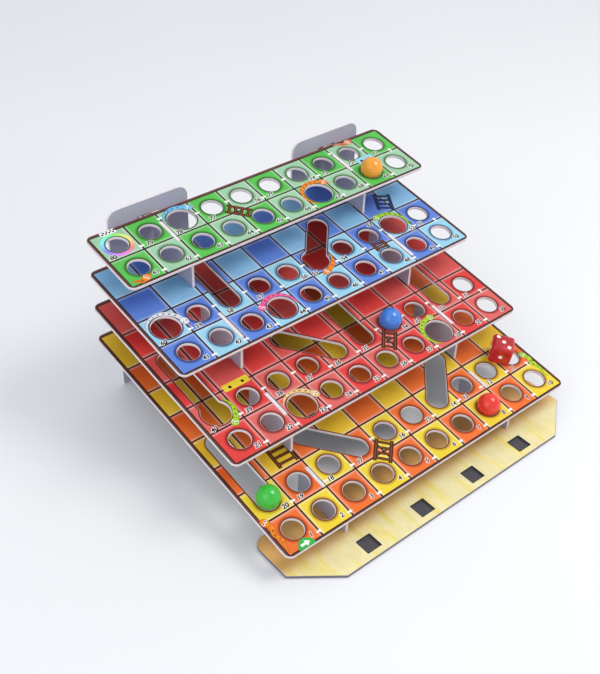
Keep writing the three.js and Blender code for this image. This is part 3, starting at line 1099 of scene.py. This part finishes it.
def slit_pair(start, end):
    """The two slits for cards that stand along y from start to end."""
    right = centre_of("bottom_tier_riser_right").x
    gap = cards().slit_gap
    half = cards().thickness / 2 + gap
    return [rectangle((x - half, start - gap), (x + half, end + gap)) for x in (-right, right)]


def tier_slits(name):
    """Slits of a tier for the tops of its risers and the feet of the next ones."""
    rows = [TIERS[name]["slit"]]
    if name != LEVELS[-1]:
        rows.append(FOOT_SLIT)
    return [slit for start, end in rows for slit in slit_pair(start * pitch(), end * pitch())]


def tier_outline(name):
    """A tier's outline with the tabs on its back edge."""
    half, front, back = tier_half(), -cards().border, tier_depth(name)
    corner, reach = cards().corner, cards().back_tab_reach
    corners = [(-half, front, corner), (half, front, corner), (half, back, corner)]
    for side in reversed(SIDES):
        centre = centre_of(f"back_post_{side}").x
        right, left = centre + cards().back_tab / 2, centre - cards().back_tab / 2
        corners += [(right, back, 0), (right, back + reach), (left, back + reach), (left, back, 0)]
    corners.append((-half, back, corner))
    return rounded(corners, cards().back_tab_corner)


class BOARD_OT_tiers(bpy.types.Operator):
    """Cut the four tiers of printed card"""

    bl_idname = "board.tiers"
    bl_label = "Tiers"

    def execute(self, context):
        core, paper = core_finish("card_core", inks().core), paper_finish()
        for name, spec in TIERS.items():
            mesh = bmesh.new()
            holes = round_holes(spec) + tier_slits(name)
            add_plate(mesh, tier_outline(name), holes, card_edge(), (0, 1, 2))
            materials = (squares_finish(name), core, paper)
            make_piece(f"{name}_card", mesh, materials, tier_place(name), (name,))
        return {"FINISHED"}


# Print

class BOARD_OT_hole_rims(bpy.types.Operator):
    """Print a dark line round every hole and slide"""

    bl_idname = "board.hole_rims"
    bl_label = "Hole rims"

    def execute(self, context):
        for name, spec in TIERS.items():
            mesh = bmesh.new()
            for hole in round_holes(spec):
                inner = shifted(facing(hole, True), -cards().edge)
                add_print(mesh, shifted(inner, -prints().rim), "rim", holes=[inner])
            tint = darkened(getattr(inks(), f"{name}_first"), prints().rim_dark)
            print_on(name, f"{name}_hole_rims", mesh, (ink_finish(f"{name}_rim", tint),))
        return {"FINISHED"}


def figures(value, place, weight, layer):
    """A text object with slanted figures."""
    top, foot = ink_height(layer), ink_height("foot")
    curve = bpy.data.curves.new("figures", "FONT")
    curve.body = str(value)
    curve.size = prints().figure
    curve.shear = FIGURE_SLANT
    curve.offset = weight
    curve.extrude = (top - foot) / 2
    curve.resolution_u = 3
    curve.align_x = "CENTER"
    curve.align_y = "CENTER"
    holder = bpy.data.objects.new("figures", curve)
    holder.location = (*place, (top + foot) / 2)
    bpy.context.scene.collection.objects.link(holder)
    return holder


def number_places(level, spec):
    """Numbers of a tier with their places: the path runs right on the front row and left on the next."""
    start = level * COLUMNS * PLAY_ROWS
    wide = wide_squares(spec)
    for step in range(COLUMNS):
        along, up = WIDE_FRONT_RIGHT if (step, 0) in wide else FRONT_RIGHT
        yield start + step + 1, at(step + along, up)
        column = COLUMNS - 1 - step
        usual = WIDE_FRONT_LEFT if (column, 1) in wide else FRONT_LEFT
        along, up = spec["numbers"].get(column, usual)
        yield start + COLUMNS + step + 1, at(column + along, 1 + up)


class BOARD_OT_numbers(bpy.types.Operator):
    """Print the numbers of the squares"""

    bl_idname = "board.numbers"
    bl_label = "Numbers"

    def execute(self, context):
        materials = (ink_finish("number_edge", inks().white), ink_finish("number", inks().black))
        weights = ((prints().outline, "figure_edge"), (prints().figure_weight, "figure"))
        for level, (name, spec) in enumerate(TIERS.items()):
            holders = [
                (slot, figures(value, place, weight, layer))
                for value, place in number_places(level, spec)
                for slot, (weight, layer) in enumerate(weights)
            ]
            graph = context.evaluated_depsgraph_get()
            mesh = bmesh.new()
            for slot, holder in holders:
                shape = bpy.data.meshes.new_from_object(holder.evaluated_get(graph))
                shape.transform(Matrix.Translation(holder.location))
                known = len(mesh.faces)
                mesh.from_mesh(shape)
                mesh.faces.ensure_lookup_table()
                for face in mesh.faces[known:]:
                    face.material_index = slot
                bpy.data.meshes.remove(shape)
            for _, holder in holders:
                bpy.data.curves.remove(holder.data)
            bmesh.ops.remove_doubles(mesh, verts=mesh.verts, dist=prints().layer / 100)
            print_on(name, f"{name}_numbers", mesh, materials)
        return {"FINISHED"}


def add_arrow(mesh, place, heading, size, layer, slot=0):
    """Adds a stubby arrow."""
    turn = Matrix.Rotation(heading, 2)
    outline = [place + turn @ (Vector(corner) * size) for corner in ARROW]
    add_print(mesh, outline, layer, slot)


class BOARD_OT_path_marks(bpy.types.Operator):
    """Print the white arrows of the path on the lines between squares"""

    bl_idname = "board.path_marks"
    bl_label = "Path marks"

    def execute(self, context):
        material = ink_finish("path", inks().white)
        for name, spec in TIERS.items():
            wide = wide_squares(spec)
            slit_start, slit_end = spec["slit"]
            marks = [(TURN_MARK, QUARTER)]
            for line in range(1, COLUMNS):
                front = line + HOLE_STEP if (line - 1, 0) in wide else line
                row = spec["marks"].get(line, BACK_MARK)
                back = line
                if line in SLIT_LINES and slit_start < row < slit_end:
                    back += math.copysign(SLIT_STEP, COLUMNS / 2 - line)
                marks += [((front, FRONT_MARK), 0.0), ((back, row), math.pi)]
            mesh = bmesh.new()
            for place, heading in marks:
                add_arrow(mesh, at(*place), heading, prints().arrow, "path_mark")
            print_on(name, f"{name}_path_marks", mesh, (material,))
        return {"FINISHED"}


def add_ladder(mesh, foot, head, width, slot):
    """Adds a ladder of dark bars with a light middle; slot is the first of its two materials."""
    along = (head - foot).normalized()
    across = left_of(along)
    rail = prints().rail
    half = (width - rail) / 2
    run = (head - foot).length
    rungs = max(2, round(run / prints().rung_step))
    bars = [(foot + across * side, head + across * side, rail) for side in (-half, half)]
    for rung in range(rungs):
        place = foot + along * (run * (rung + 0.5) / rungs)
        bars.append((place - across * half, place + across * half, rail * RUNG_WIDTH))
    for start, end, thick in bars:
        overrun = (end - start).normalized() * thick * BAR_OVERRUN
        add_bar(mesh, start - overrun, end + overrun, thick * BAR_EDGE, "ladder_edge", slot)
        add_bar(mesh, start, end, thick * BAR_MIDDLE, "ladder", slot + 1)


def add_ladder_top(mesh, place, run, bar_slot, end_slot):
    """Adds the bar where a ladder comes up, with the dark ends of its rails."""
    column, row = place
    low, high = at(column - run / 2, row - TOP_HALF), at(column + run / 2, row + TOP_HALF)
    add_print(mesh, rounded(rectangle(low, high), prints().rail * TOP_ROUND), "ladder_top", bar_slot)
    for side in (-run / 4, run / 4):
        end = circle(at(column + side, row - TOP_END_STEP), prints().rail * TOP_END, 24)
        add_print(mesh, end, "ladder_end", end_slot)


class BOARD_OT_ladders(bpy.types.Operator):
    """Print the ladders and the bars where a ladder comes up from the tier below"""

    bl_idname = "board.ladders"
    bl_label = "Ladders"

    def execute(self, context):
        rails = [ink_finish(f"ladder_{ink}", getattr(inks(), ink)) for ink in LADDER_INKS]
        end = ink_finish("ladder_end", inks().black)
        for level, name in enumerate(LEVELS):
            mesh = bmesh.new()
            for foot, head, width, ink in on_tier(LADDERS, name):
                add_ladder(mesh, at(*foot), at(*head), width * pitch(), LADDER_INKS.index(ink))
            for place, run in on_tier(LADDER_TOPS, name):
                add_ladder_top(mesh, place, run, len(rails), len(rails) + 1)
            below = LEVELS[max(0, level - 1)]
            top = ink_finish(f"{name}_ladder_top", getattr(inks(), f"{below}_second"))
            print_on(name, f"{name}_ladders", mesh, (*rails, top, end))
        return {"FINISHED"}


def add_snake(mesh, path, slots):
    """Adds a snake along a path from its tail to its head; slots are the materials of its inks."""
    body = prints().snake
    count = len(path)
    widths = [body * min(1.0, TAIL_TIP + TAIL_GROWTH * i / count) for i in range(count)]
    add_ribbon(mesh, path, [width + body * SNAKE_EDGE for width in widths], "snake_edge", slots["band"])
    add_ribbon(mesh, path, widths, "snake", slots["coat"])
    for i in range(SPOT_STEP, count - SPOT_STEP, SPOT_STEP):
        along, across = (part * widths[i] for part in SPOT)
        spot = ellipse(path[i], along, across, heading_of(path[i + 1] - path[i - 1]), 16)
        add_print(mesh, spot, "spot", slots["band"])
    forward = (path[-1] - path[-3]).normalized()
    head = path[-1] + forward * body * HEAD_STEP
    fork = head + forward * body * TONGUE
    add_bar(mesh, head, fork, body * TONGUE_WIDTH, "tongue", slots["tongue"])
    for spread in (-FORK_SPREAD, FORK_SPREAD):
        tip = fork + (forward + left_of(forward) * spread).normalized() * body * FORK
        add_bar(mesh, fork, tip, body * FORK_WIDTH, "tongue", slots["tongue"])
    heading = heading_of(forward)
    turn = Matrix.Rotation(heading, 2)
    for layer, ink, places, along, across, steps in SNAKE_HEAD:
        for place in places:
            centre = head + turn @ Vector(place) * body
            part = ellipse(centre, along * body, across * body, heading, steps)
            add_print(mesh, part, layer, slots[ink])


def curled_path(square, tail, sweep):
    """A path round a square's snake hole that swings outwards at the head. Angles are in degrees."""
    radius = cards().snake_hole / 2 + prints().snake * CURL_GAP
    count = max(24, round(abs(sweep) / CURL_STEP))
    path = []
    for i in range(count + 1):
        run = i / count
        turn = math.radians(tail + sweep * run)
        swing = max(0.0, run - SWING_START) / (1 - SWING_START)
        reach = radius + prints().head_swing * swing**2
        path.append(middle(square) + Vector((math.cos(turn), math.sin(turn))) * reach)
    return path


def waved_path(tail, head, count=40):
    """A path that winds from side to side."""
    along = head - tail
    waves = max(1, round(along.length / prints().snake / WAVE_LENGTH))
    swing = left_of(along).normalized() * prints().snake * WAVE_SWING
    runs = [i / count for i in range(count + 1)]
    return [tail + along * run + swing * math.sin(2 * math.pi * waves * run) for run in runs]


class BOARD_OT_snakes(bpy.types.Operator):
    """Print the snakes round the holes and along the edges of the tiers"""

    bl_idname = "board.snakes"
    bl_label = "Snakes"

    def execute(self, context):
        common = (("eye", "white"), ("pupil", "black"), ("tongue", "tongue"))
        shared = [ink_finish(name, getattr(inks(), ink)) for name, ink in common]
        for name in LEVELS:
            snakes = [
                (coat, curled_path(square, tail, sweep))
                for square, tail, sweep, coat in on_tier(CURLED_SNAKES, name)
            ]
            snakes += [
                (coat, waved_path(at(*tail), at(*head)))
                for tail, head, coat in on_tier(EDGE_SNAKES, name)
            ]
            mesh = bmesh.new()
            materials = list(shared)
            first_slots = {}
            for coat, path in snakes:
                if coat not in first_slots:
                    first_slots[coat] = len(materials)
                    tint = getattr(inks(), coat)
                    materials.append(ink_finish(f"{coat}_coat", tint))
                    materials.append(ink_finish(f"{coat}_band", darkened(tint, prints().snake_dark)))
                slots = {ink: slot for slot, (_, ink) in enumerate(common)}
                slots.update(coat=first_slots[coat], band=first_slots[coat] + 1)
                add_snake(mesh, path, slots)
            print_on(name, f"{name}_snakes", mesh, materials)
        return {"FINISHED"}


class BOARD_OT_start_and_finish(bpy.types.Operator):
    """Print the start plaque, the ring round the last seat and the finish plaque"""

    bl_idname = "board.start_and_finish"
    bl_label = "Start and finish"

    def execute(self, context):
        white = ink_finish("plaque_white", inks().white)
        first, last = LEVELS[0], LEVELS[-1]
        mesh = bmesh.new()
        arch = [at(START_COLUMN + side, START_FOOT) for side in (-START_HALF, START_HALF)]
        arch += arc(at(START_COLUMN, START_ARCH), START_HALF * pitch(), 0, math.pi, 24)
        add_print(mesh, arch, "start_plaque")
        arrow_place = at(START_COLUMN, START_ARROW_ROW)
        add_arrow(mesh, arrow_place, 0.0, START_ARROW * pitch(), "start_arrow", 1)
        print_on(first, "start_plaque", mesh, (ink_finish("start_plaque", inks().plaque), white))

        mesh = bmesh.new()
        inner = cards().hole / 2 + cards().edge + prints().rim
        outer = inner + prints().finish_ring
        add_print(mesh, circle((0, 0), outer), "finish_ring", holes=[circle((0, 0), inner)])
        place = tier_place(last) @ Matrix.Translation((*middle(LAST_SEAT), 0))
        make_piece("finish_ring", mesh, (rainbow_finish(),), place)

        mesh = bmesh.new()
        low, high = at(*FINISH_LOW), at(*FINISH_HIGH)
        add_print(mesh, rounded(rectangle(low, high), prints().rail * TOP_ROUND), "finish_plaque")
        side = (high.y - low.y) / CHECKS_HIGH
        for i in range(CHECKS):
            corner = low + (CHECK_START + Vector((i, i % 2))) * side
            add_print(mesh, rectangle(corner, corner + Vector((side, side))), "finish_check", 1)
        print_on(last, "finish_plaque", mesh, (white, ink_finish("finish_check", inks().black)))
        return {"FINISHED"}


# Strip and supports

class BOARD_OT_parking_strip(bpy.types.Operator):
    """Cut the parking strip with its square holes over a dark backing and with dark walls, as painted
    shade in the holes
    """

    bl_idname = "board.parking_strip"
    bl_label = "Parking strip"

    def execute(self, context):
        card = cards()
        low, high = BOXES["parking_strip"]
        half, depth = (high.x - low.x) / 2, high.y - low.y
        corners = [
            (card.strip_cut_x - half, 0),
            (half - card.strip_cut_x, 0),
            (half, card.strip_cut_y),
            (half, depth, card.strip_corner),
            (-half, depth, card.strip_corner),
            (-half, card.strip_cut_y),
        ]
        holes = []
        reach = Vector((card.park_hole, card.park_hole)) / 2
        for place in PARK_PLACES:
            centre = Vector((place * card.park_spacing, card.park_inset))
            holes.append(rounded(rectangle(centre - reach, centre + reach), card.park_corner))
        slits = slit_pair(card.strip_slit_start, card.strip_slit_start + card.strip_slit)
        overhang = BOXES[LEVELS[0]][0].y - low.y
        # The painted shadow runs from just before the lowest tier's front edge to under it.
        face = strip_finish(overhang - prints().warm_start, overhang + prints().warm_end)
        # Painted shade: the parking holes get dark walls and a dark backing.
        liner = ink_finish("liner", inks().liner)
        # The strip's cut edges are dark grey board, partly painted shade.
        materials = (face, core_finish("strip_core", inks().strip_core), paper_finish(), liner)
        shade_liner_slots = (materials.index(liner),) * len(holes)
        mesh = bmesh.new()
        outline = rounded(corners, card.strip_point)
        add_plate(mesh, outline, holes + slits, card_edge(), (0, 1, 2), shade_liner_slots)
        place = Matrix.Translation((0, low.y, high.z))
        make_piece("parking_strip_card", mesh, materials, place, ("parking_strip",))

        # Dark sheets under the parking holes, painted shade.
        mesh = bmesh.new()
        profile = [(card.liner_gap, card.liner_lift + card.liner), (card.liner_gap, card.liner_lift)]
        for hole in holes:
            add_plate(mesh, hole, [], profile)
        place = Matrix.Translation((0, low.y, low.z))
        make_piece("parking_hole_liners", mesh, (liner,), place)
        return {"FINISHED"}


def post_slits(node):
    """Slits of a post for the tiers' back tabs, in the post's own x and height."""
    low, high = BOXES[node]
    gap = cards().slit_gap
    half = cards().back_tab / 2 + gap
    slits = []
    for name in LEVELS:
        face = tier_place(name).translation
        top = face.z + (high.y - face.y) * math.tan(TILT)
        under = face.z + (low.y - face.y) * math.tan(TILT) - cards().thickness / math.cos(TILT)
        slits.append(rectangle((-half, under - gap), (half, top + gap)))
    return slits


class BOARD_OT_supports(bpy.types.Operator):
    """Cut the back posts and finish the risers"""

    bl_idname = "board.supports"
    bl_label = "Supports"

    def execute(self, context):
        card = cards()
        post_finish, riser_finish = support_finish(2), support_finish(0)
        for side in SIDES:
            node = f"back_post_{side}"
            low, high = BOXES[node]
            half, height = (high.x - low.x) / 2, high.z - low.z
            foot, top = card.post_foot, card.post_corner
            corners = [(-half, 0, foot), (half, 0, foot), (half, height, top), (-half, height, top)]
            mesh = bmesh.new()
            add_plate(mesh, rounded(corners), post_slits(node), card_edge())
            place = Matrix.Translation((centre_of(node).x, low.y, low.z))
            place = place @ Matrix.Rotation(QUARTER, 4, "X")
            make_piece(f"{node}_card", mesh, (post_finish,), place, (node,))
        for riser in [frame["nodes"][f"{name}_riser_{side}"] for name in LEVELS for side in SIDES]:
            riser.data.materials.clear()
            riser.data.materials.append(riser_finish)
            weld = riser.modifiers.new("one skin", "WELD")
            weld.merge_threshold = 0.01 * MILLIMETRE
            soften = riser.modifiers.new("soft edges", "BEVEL")
            soften.width = card.edge
            soften.segments = 2
            soften.limit_method = "ANGLE"
        return {"FINISHED"}


# Balls and die

def ball_profile(radius, steps=26):
    """Profile of a ball as (radius, height) from foot to crown, with a fine seam round its middle."""
    depth, half = pieces().seam_depth, pieces().seam_width / 2
    bottom, *lip = [(radius - depth * inward, half * up) for inward, up in SEAM]
    start = half / radius
    turns = [start + (QUARTER - start) * i / steps for i in range(steps + 1)]
    upper = lip + [(radius * math.cos(a), radius * math.sin(a)) for a in turns]
    return [(around, -height) for around, height in reversed(upper)] + [bottom] + upper


def add_ball(mesh, radius, steps=72):
    """Adds a ball with its seam."""
    profile = ball_profile(radius)
    rings = [add_ring(mesh, circle((0, 0), around, steps), height) for around, height in profile[1:-1]]
    for below, above in zip(rings, rings[1:]):
        add_band(mesh, above, below)
    foot, crown = (mesh.verts.new((0, 0, height)) for _, height in (profile[0], profile[-1]))
    for i in range(steps):
        j = (i + 1) % steps
        mesh.faces.new((foot, rings[0][j], rings[0][i])).smooth = True
        mesh.faces.new((crown, rings[-1][i], rings[-1][j])).smooth = True


class BOARD_OT_balls(bpy.types.Operator):
    """Turn the four marker balls"""

    bl_idname = "board.balls"
    bl_label = "Balls"

    def execute(self, context):
        for name in BALLS:
            low, high = BOXES[name]
            mesh = bmesh.new()
            add_ball(mesh, (high.x - low.x) / 2)
            place = Matrix.Translation(centre_of(name)) @ Matrix.Rotation(TILT, 4, "X")
            finish = gloss_finish(name, getattr(inks(), name))
            make_piece(f"{name}_shell", mesh, (finish,), place, (name,), name)
        return {"FINISHED"}


def add_pip_hollows(mesh, slot):
    """Adds the balls that hollow out the pips of the die."""
    side, depth = pieces().die, pieces().pip_depth
    radius = ((pieces().pip / 2) ** 2 + depth**2) / (2 * depth)
    for count, out, across, up in DIE_FACES:
        outward = Vector(out)
        turn = outward.to_track_quat("Z", "Y").to_matrix().to_4x4()
        for a, b in PIPS[count]:
            centre = outward * (side / 2 + radius - depth)
            centre += (Vector(across) * a + Vector(up) * b) * pieces().pip_spacing
            place = Matrix.Translation(centre) @ turn
            bmesh.ops.create_uvsphere(mesh, u_segments=40, v_segments=40, radius=radius, matrix=place)
    for face in mesh.faces:
        face.material_index = slot


class BOARD_OT_die(bpy.types.Operator):
    """Mould the die with its hollowed pips"""

    bl_idname = "board.die"
    bl_label = "Die"

    def execute(self, context):
        die = pieces()
        materials = (clear_red_finish(), ink_finish("pip", inks().white))
        mesh = bmesh.new()
        bmesh.ops.create_cube(mesh, size=die.die)
        edges = mesh.edges[:]
        bmesh.ops.bevel(mesh, geom=edges, offset=die.die_round, segments=8, profile=0.5, affect="EDGES")
        body = make_object("die_body", mesh, materials)
        mesh = bmesh.new()
        add_pip_hollows(mesh, 1)
        hollows = make_object("die_hollows", mesh, materials)
        cut = body.modifiers.new("pips", "BOOLEAN")
        cut.operation = "DIFFERENCE"
        cut.solver = "EXACT"
        cut.object = hollows
        graph = context.evaluated_depsgraph_get()
        shape = bpy.data.meshes.new_from_object(body.evaluated_get(graph))
        mesh = bmesh.new()
        mesh.from_mesh(shape)
        for data in (body.data, hollows.data, shape):
            bpy.data.meshes.remove(data)
        flat = 0.9999
        for face in mesh.faces:
            face.smooth = max(abs(part) for part in face.normal) < flat
        place = Matrix.Translation(centre_of("die")) @ Matrix.Rotation(TILT, 4, "X")
        place = place @ Matrix.Rotation(die.die_turn, 4, "Z")
        make_piece("die_cube", mesh, materials, place, ("die",), "die")
        return {"FINISHED"}


# Studio

def add_light(name):
    """Adds one of the two large soft lights."""
    place, size, power, tint = (
        getattr(studio(), f"{name}_{part}") for part in ("place", "size", "power", "tint")
    )
    data = bpy.data.lights.new(name, "AREA")
    data.shape = "DISK"
    data.size = size
    data.energy = power
    data.color = tint
    light = bpy.data.objects.new(name, data)
    light.location = place
    light.rotation_euler = (Vector(studio().aim) - Vector(place)).to_track_quat("-Z", "Y").to_euler()
    bpy.context.scene.collection.objects.link(light)


class BOARD_OT_stage(bpy.types.Operator):
    """Lay the floor and set the lights and the camera"""

    bl_idname = "board.stage"
    bl_label = "Stage"

    def execute(self, context):
        scene = context.scene
        settings = studio()
        mesh = bmesh.new()
        bmesh.ops.create_grid(mesh, x_segments=8, y_segments=8, size=settings.floor_half)
        floor = make_object("floor", mesh, (floor_finish(),))
        floor.location.z = CAD_LOW.z - settings.floor_gap

        scene.world = bpy.data.worlds.new("surround")
        scene.world.use_nodes = True
        background = scene.world.node_tree.nodes["Background"]
        background.inputs["Color"].default_value = solid(settings.sky_tint)
        background.inputs["Strength"].default_value = settings.sky_power
        add_light("key")
        add_light("fill")
        scene.view_settings.view_transform = "Standard"

        turns = ((-settings.azimuth, "Z"), (QUARTER - settings.elevation, "X"), (settings.roll, "Z"))
        place = Matrix.Translation(settings.place)
        for turn, axis in turns:
            place = place @ Matrix.Rotation(turn, 4, axis)
        lens = bpy.data.cameras.new("camera")
        lens.lens = settings.lens
        camera = bpy.data.objects.new("camera", lens)
        camera.matrix_world = place
        scene.collection.objects.link(camera)
        scene.camera = camera
        return {"FINISHED"}


# Add-on

OPERATORS = (
    BOARD_OT_tiers,
    BOARD_OT_hole_rims,
    BOARD_OT_numbers,
    BOARD_OT_path_marks,
    BOARD_OT_ladders,
    BOARD_OT_snakes,
    BOARD_OT_start_and_finish,
    BOARD_OT_parking_strip,
    BOARD_OT_supports,
    BOARD_OT_balls,
    BOARD_OT_die,
    BOARD_OT_stage,
)


class BOARD_PT_panel(bpy.types.Panel):
    """Lists the pieces of the board and their sizes and colours"""

    bl_idname = "BOARD_PT_panel"
    bl_label = "Board"
    bl_space_type = "VIEW_3D"
    bl_region_type = "UI"
    bl_category = "Board"

    def draw(self, context):
        layout = self.layout
        for operator in OPERATORS:
            layout.operator(operator.bl_idname)
        for group in (cards(), prints(), inks(), pieces(), studio()):
            box = layout.box()
            for name in group.bl_rna.properties.keys():
                if name not in {"rna_type", "name"}:
                    box.prop(group, name)


GROUPS = {
    "board_cards": BoardCards,
    "board_print": BoardPrint,
    "board_inks": BoardInks,
    "board_pieces": BoardPieces,
    "board_studio": BoardStudio,
}


def register():
    for kind in (*GROUPS.values(), *OPERATORS, BOARD_PT_panel):
        bpy.utils.register_class(kind)
    for name, group in GROUPS.items():
        setattr(bpy.types.Scene, name, PointerProperty(type=group))


def unregister():
    for name in GROUPS:
        delattr(bpy.types.Scene, name)
    for kind in (BOARD_PT_panel, *reversed(OPERATORS), *GROUPS.values()):
        bpy.utils.unregister_class(kind)


def main():
    register()
    for operator in OPERATORS:
        getattr(bpy.ops.board, operator.bl_idname.split(".")[1])()


if __name__ == "__main__":
    main()
